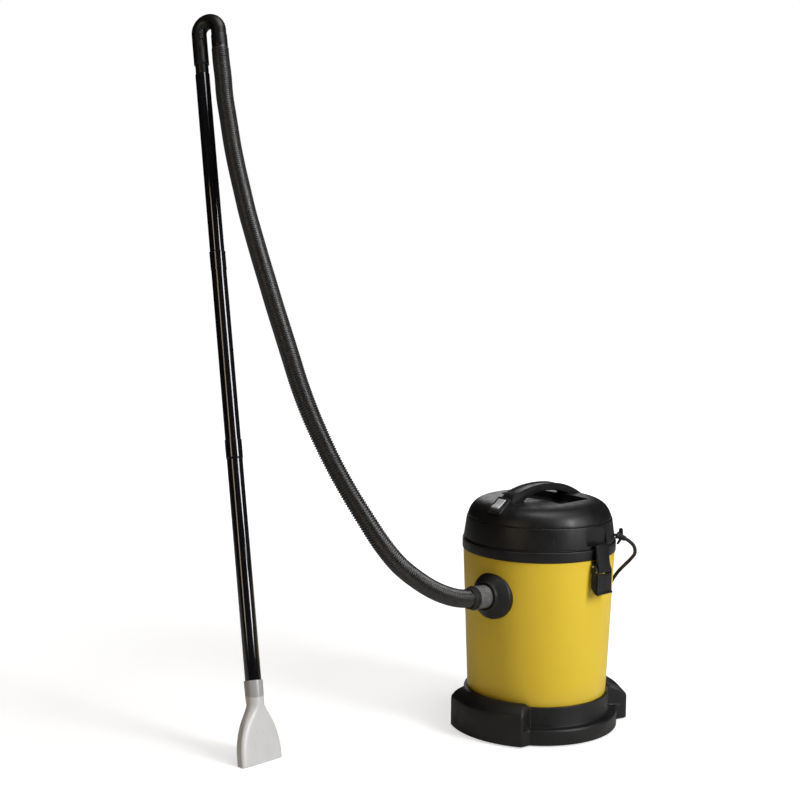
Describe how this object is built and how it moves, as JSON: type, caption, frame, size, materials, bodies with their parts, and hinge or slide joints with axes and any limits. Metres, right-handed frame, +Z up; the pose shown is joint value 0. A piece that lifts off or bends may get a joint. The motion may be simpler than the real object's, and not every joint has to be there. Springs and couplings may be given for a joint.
{
  "type": "spot extractor",
  "caption": "Drum-type extraction vacuum on a caster trolley, with a latched motor head, ribbed hose, arched grip, sectional wand and flat pick-up nozzle, cord coiled behind.",
  "frame": {"origin": "on the floor, at the middle of the plan box of machine and wand", "axes": "+Z up; -Y is the machine's front, where the hose inlet and the switch are; +X is the side whose latch and mains cord show"},
  "size_m": [0.8112, 0.885, 1.4648],
  "materials": {
    "drum_yellow": "semi-gloss moulded",
    "body_black": "satin moulded",
    "tube_black": "high gloss",
    "grip_black": "satin gloss",
    "trim_black": "matte",
    "cuff_grey": "matte, worn",
    "hose_black": "ribbed satin",
    "nozzle_milky": "translucent, scuffed",
    "seal_rubber": "matte",
    "tread_rubber": "matte",
    "steel": "zinc plated",
    "rocker_silver": "silver, satin",
    "motor_alloy": "cast",
    "float_white": "foam, matte",
    "cord_black": "smooth matte"
  },
  "bodies": {
    "tank": {"trolley": "body_black", "drum": "drum_yellow", "tank_rim": "body_black", "inlet_flange": "body_black", "inlet_lock_ring": "trim_black", "inlet_deflector": "trim_black", "latch_bracket_right": "body_black", "latch_pin_right": "steel", "latch_bracket_left": "body_black", "latch_pin_left": "steel", "power_cord": "cord_black", "cord_coil": "cord_black", "cord_tie": "trim_black", "power_cord_tail": "cord_black", "power_plug": "trim_black", "suction_hose": "hose_black"},
    "head": {"head_seal": "seal_rubber", "motor_pan": "trim_black", "head_ring": "body_black", "head_cover": "body_black", "switch_housing": "trim_black", "fan_gasket": "seal_rubber", "fan_housing": "motor_alloy", "motor_can": "steel", "float_cage": "trim_black", "cord_strain_relief": "trim_black", "cord_hook": "body_black"},
    "rocker": {"power_rocker": "rocker_silver"},
    "float": {"float_ball": "float_white"},
    "inlet_cuff": {"hose_inlet_cuff": "cuff_grey", "hose_inlet_collar": "trim_black"},
    "handpiece": {"grip": "grip_black"},
    "air_gate": {"air_slider": "trim_black"},
    "grip_cuff": {"hose_grip_cuff": "trim_black"},
    "upper_tube": {"tube_upper": "tube_black"},
    "middle_tube": {"tube_middle": "tube_black"},
    "lower_tube": {"tube_lower": "tube_black"},
    "floor_nozzle": {"nozzle": "nozzle_milky"},
    "lever_right": {"latch_lever_right": "body_black", "latch_hook_pin_right": "steel"},
    "hook_right": {"latch_hook_right": "body_black"},
    "lever_left": {"latch_lever_left": "body_black", "latch_hook_pin_left": "steel"},
    "hook_left": {"latch_hook_left": "body_black"},
    "caster_front_left": {"caster_fork_front_left": "body_black", "caster_axle_front_left": "steel"},
    "wheel_front_left": {"caster_wheel_front_left": "tread_rubber"},
    "caster_front_right": {"caster_fork_front_right": "body_black", "caster_axle_front_right": "steel"},
    "wheel_front_right": {"caster_wheel_front_right": "tread_rubber"},
    "caster_rear_left": {"caster_fork_rear_left": "body_black", "caster_axle_rear_left": "steel"},
    "wheel_rear_left": {"caster_wheel_rear_left": "tread_rubber"},
    "caster_rear_right": {"caster_fork_rear_right": "body_black", "caster_axle_rear_right": "steel"},
    "wheel_rear_right": {"caster_wheel_rear_right": "tread_rubber"}
  },
  "joints": [
    {"name": "head_lift", "type": "slide", "parent": "tank", "child": "head", "axis": [0, 0, 1], "range_m": [0, 0.2], "deforming": ["power_cord"]},
    {"name": "switch_rock", "type": "hinge", "parent": "head", "child": "rocker", "pos_m": [0.2296, 0.09326, 0.46857], "axis": [1, 0, 0], "range_deg": [0, 11]},
    {"name": "float_rise", "type": "slide", "parent": "head", "child": "float", "axis": [0, 0, 1], "range_m": [0, 0.051]},
    {"name": "inlet_cuff_spin", "type": "hinge", "parent": "tank", "child": "inlet_cuff", "pos_m": [0.2428, 0.02668, 0.29657], "axis": [0.0695, -0.9938, 0.0872], "continuous": true},
    {"name": "wand_swing", "type": "hinge", "parent": "tank", "child": "handpiece", "pos_m": [0.2435, 0.01675, 0.29744], "axis": [0, 0, 1], "range_deg": [-12, 12], "deforming": ["suction_hose"]},
    {"name": "air_gate_slide", "type": "slide", "parent": "handpiece", "child": "air_gate", "axis": [0.282, -0.1193, -0.952], "range_m": [0, 0.017]},
    {"name": "grip_cuff_spin", "type": "hinge", "parent": "handpiece", "child": "grip_cuff", "pos_m": [-0.33888, -0.16529, 1.39949], "axis": [-0.282, 0.1193, 0.952], "continuous": true},
    {"name": "grip_pull", "type": "slide", "parent": "handpiece", "child": "upper_tube", "axis": [0.282, -0.1193, -0.952], "range_m": [0, 0.034]},
    {"name": "upper_joint_pull", "type": "slide", "parent": "upper_tube", "child": "middle_tube", "axis": [0.282, -0.1193, -0.952], "range_m": [0, 0.036]},
    {"name": "lower_joint_pull", "type": "slide", "parent": "middle_tube", "child": "lower_tube", "axis": [0.282, -0.1193, -0.952], "range_m": [0, 0.036]},
    {"name": "nozzle_pull", "type": "slide", "parent": "lower_tube", "child": "floor_nozzle", "axis": [0.282, -0.1193, -0.952], "range_m": [0, 0.034]},
    {"name": "latch_lever_right", "type": "hinge", "parent": "tank", "child": "lever_right", "pos_m": [0.3898, 0.2155, 0.357], "axis": [0, -1, 0], "range_deg": [0, 85]},
    {"name": "latch_hook_right", "type": "hinge", "parent": "lever_right", "child": "hook_right", "pos_m": [0.3991, 0.2155, 0.347], "axis": [0, -1, 0], "range_deg": [-94, 0]},
    {"name": "latch_lever_left", "type": "hinge", "parent": "tank", "child": "lever_left", "pos_m": [0.0694, 0.2155, 0.357], "axis": [0, 1, 0], "range_deg": [0, 85]},
    {"name": "latch_hook_left", "type": "hinge", "parent": "lever_left", "child": "hook_left", "pos_m": [0.0601, 0.2155, 0.347], "axis": [0, 1, 0], "range_deg": [-94, 0]},
    {"name": "caster_swivel_front_left", "type": "hinge", "parent": "tank", "child": "caster_front_left", "pos_m": [0.1846, 0.0875, 0.046], "axis": [0, 0, 1], "continuous": true},
    {"name": "wheel_roll_front_left", "type": "hinge", "parent": "caster_front_left", "child": "wheel_front_left", "pos_m": [0.1846, 0.0995, 0.018], "axis": [1, 0, 0], "continuous": true},
    {"name": "caster_swivel_front_right", "type": "hinge", "parent": "tank", "child": "caster_front_right", "pos_m": [0.2746, 0.0875, 0.046], "axis": [0, 0, 1], "continuous": true},
    {"name": "wheel_roll_front_right", "type": "hinge", "parent": "caster_front_right", "child": "wheel_front_right", "pos_m": [0.2746, 0.0995, 0.018], "axis": [1, 0, 0], "continuous": true},
    {"name": "caster_swivel_rear_left", "type": "hinge", "parent": "tank", "child": "caster_rear_left", "pos_m": [0.1636, 0.3295, 0.046], "axis": [0, 0, 1], "continuous": true},
    {"name": "wheel_roll_rear_left", "type": "hinge", "parent": "caster_rear_left", "child": "wheel_rear_left", "pos_m": [0.1636, 0.3415, 0.018], "axis": [1, 0, 0], "continuous": true},
    {"name": "caster_swivel_rear_right", "type": "hinge", "parent": "tank", "child": "caster_rear_right", "pos_m": [0.2956, 0.3295, 0.046], "axis": [0, 0, 1], "continuous": true},
    {"name": "wheel_roll_rear_right", "type": "hinge", "parent": "caster_rear_right", "child": "wheel_rear_right", "pos_m": [0.2956, 0.3415, 0.018], "axis": [1, 0, 0], "continuous": true}
  ],
  "couplings": [
    {"joint": "latch_hook_right", "follows": "latch_lever_right", "ratio": -1.1},
    {"joint": "latch_hook_left", "follows": "latch_lever_left", "ratio": -1.1}
  ]
}
